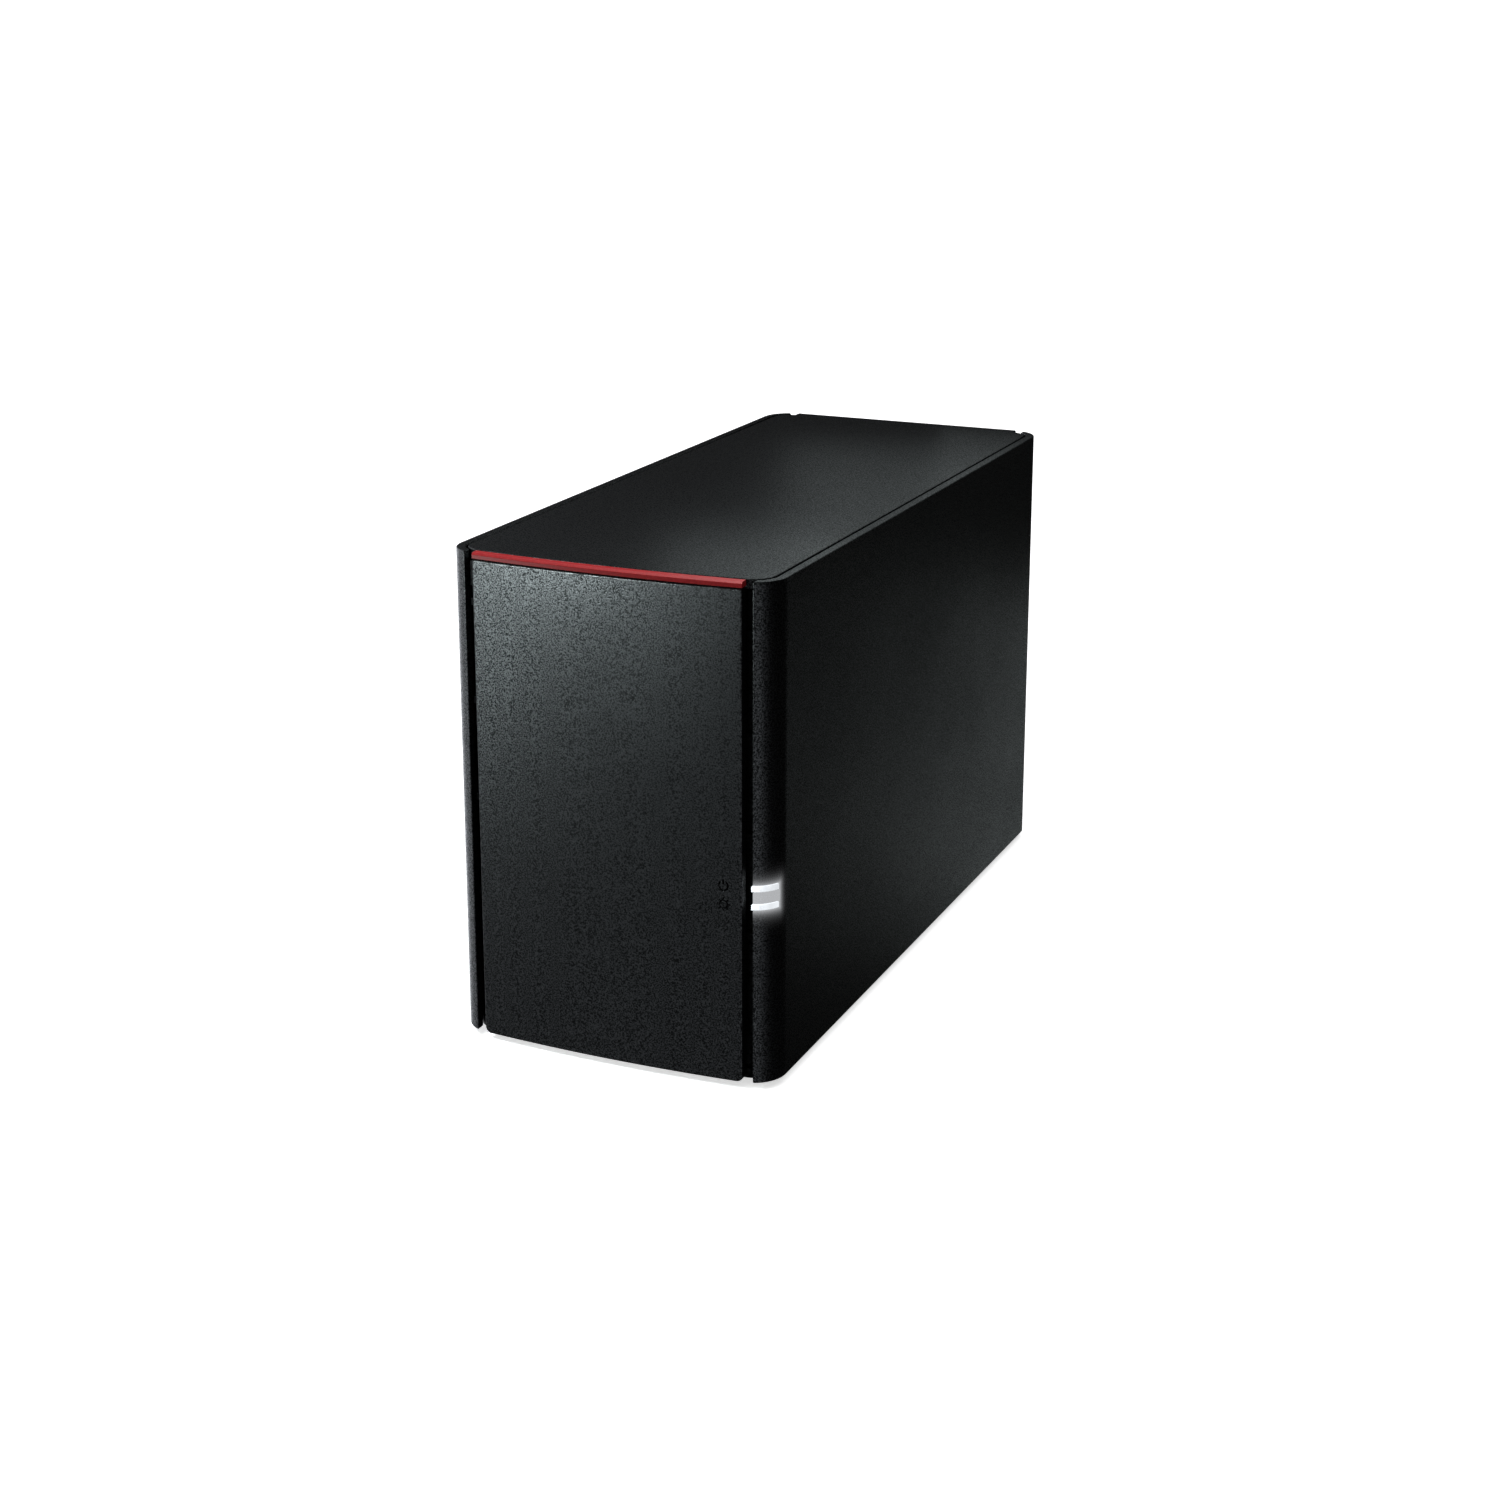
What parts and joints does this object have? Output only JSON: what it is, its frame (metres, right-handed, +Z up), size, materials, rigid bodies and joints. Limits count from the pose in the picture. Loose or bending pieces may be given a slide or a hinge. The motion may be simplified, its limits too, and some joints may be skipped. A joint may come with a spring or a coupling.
{
  "type": "network attached storage",
  "caption": "Upright black network storage box with side shells, a bowed pull-off front cover with a red top line, light bars, and drives in trays inside.",
  "frame": {"origin": "on the resting surface, at the middle of the box's footprint", "axes": "+Z up, the front cover faces -Y, the lights are on the +X side"},
  "size_m": [0.087, 0.205, 0.127],
  "materials": {
    "shell": "fine-textured matte black",
    "frame": "plain black moulding",
    "accent": "glossy deep red",
    "rubber": "matte black rubber",
    "steel": "zinc-plated sheet and screws",
    "drive_metal": "cast, matte",
    "lid_metal": "satin stamped lid",
    "tray": "dark grey moulding",
    "lever": "blue release lever",
    "board": "green circuit board",
    "chip": "black package",
    "socket": "black connector",
    "port_shield": "bright port shield",
    "fan": "black fan moulding",
    "light": "white light guide, lit",
    "plug": "off-white plug",
    "capacitor": "sleeved can",
    "heatsink": "finned, satin",
    "button": "black push button"
  },
  "bodies": {
    "chassis": {"left_side_shell": "shell", "right_side_shell": "shell", "top_cover": "shell", "base_tray": "frame", "front_frame": "frame", "rear_panel": "shell", "drive_cage": "steel", "main_board": "board", "backplane_board": "board", "edge_socket": "socket", "processor": "chip", "heatsink": "heatsink", "memory_chip": "chip", "capacitor": "capacitor", "lan_jack": "port_shield", "usb_port": "port_shield", "power_inlet": "socket", "power_switch": "socket", "function_switch": "socket", "lower_light_bar": "light", "upper_light_bar": "light", "light_board": "board", "light_lead": "rubber", "light_plug": "plug", "fan_frame": "fan", "fan_lead": "rubber", "fan_plug": "plug", "foot_1": "rubber", "case_screw_1": "steel", "fan_screw_1": "steel", "foot_2": "rubber", "case_screw_2": "steel", "fan_screw_2": "steel", "foot_3": "rubber", "case_screw_3": "steel", "fan_screw_3": "steel", "foot_4": "rubber", "case_screw_4": "steel", "fan_screw_4": "steel", "drive_connector_1": "socket", "drive_connector_2": "socket"},
    "front_cover": {"front_cover": "shell", "accent_strip": "accent"},
    "fan_rotor": {"fan_rotor": "fan"},
    "power_button": {"power_button": "button"},
    "function_button": {"function_button": "button"},
    "drive_tray_1": {"tray_1": "tray", "drive_body_1": "drive_metal", "drive_lid_1": "lid_metal", "drive_board_1": "board", "tray_screw_1_1": "steel", "tray_screw_1_2": "steel"},
    "lever_1": {"tray_lever_1": "lever"},
    "drive_tray_2": {"tray_2": "tray", "drive_body_2": "drive_metal", "drive_lid_2": "lid_metal", "drive_board_2": "board", "tray_screw_2_1": "steel", "tray_screw_2_2": "steel"},
    "lever_2": {"tray_lever_2": "lever"}
  },
  "joints": [
    {"name": "front_cover_slide", "type": "slide", "parent": "chassis", "child": "front_cover", "axis": [0, -1, 0], "range_m": [0, 0.2]},
    {"name": "drive_1_slide", "type": "slide", "parent": "chassis", "child": "drive_tray_1", "axis": [0, -1, 0], "range_m": [0, 0.16]},
    {"name": "lever_1_press", "type": "hinge", "parent": "drive_tray_1", "child": "lever_1", "pos_m": [-0.0162, -0.0946, 0.058], "axis": [-1, 0, 0], "range_deg": [0, 2.5], "stiffness_Nm_per_rad": 0.3},
    {"name": "drive_2_slide", "type": "slide", "parent": "chassis", "child": "drive_tray_2", "axis": [0, -1, 0], "range_m": [0, 0.16]},
    {"name": "lever_2_press", "type": "hinge", "parent": "drive_tray_2", "child": "lever_2", "pos_m": [0.0162, -0.0946, 0.058], "axis": [-1, 0, 0], "range_deg": [0, 2.5], "stiffness_Nm_per_rad": 0.3},
    {"name": "fan_spin", "type": "hinge", "parent": "chassis", "child": "fan_rotor", "pos_m": [0, 0.0915, 0.08], "axis": [0, -1, 0], "continuous": true},
    {"name": "power_button_press", "type": "slide", "parent": "chassis", "child": "power_button", "axis": [0, -1, 0], "range_m": [0, 0.0012], "stiffness_N_per_m": 300},
    {"name": "function_button_press", "type": "slide", "parent": "chassis", "child": "function_button", "axis": [0, -1, 0], "range_m": [0, 0.0008], "stiffness_N_per_m": 300}
  ],
  "couplings": [
    {"joint": "drive_1_slide", "follows": "front_cover_slide", "ratio": 0.8},
    {"joint": "drive_2_slide", "follows": "front_cover_slide", "ratio": 0.8}
  ]
}
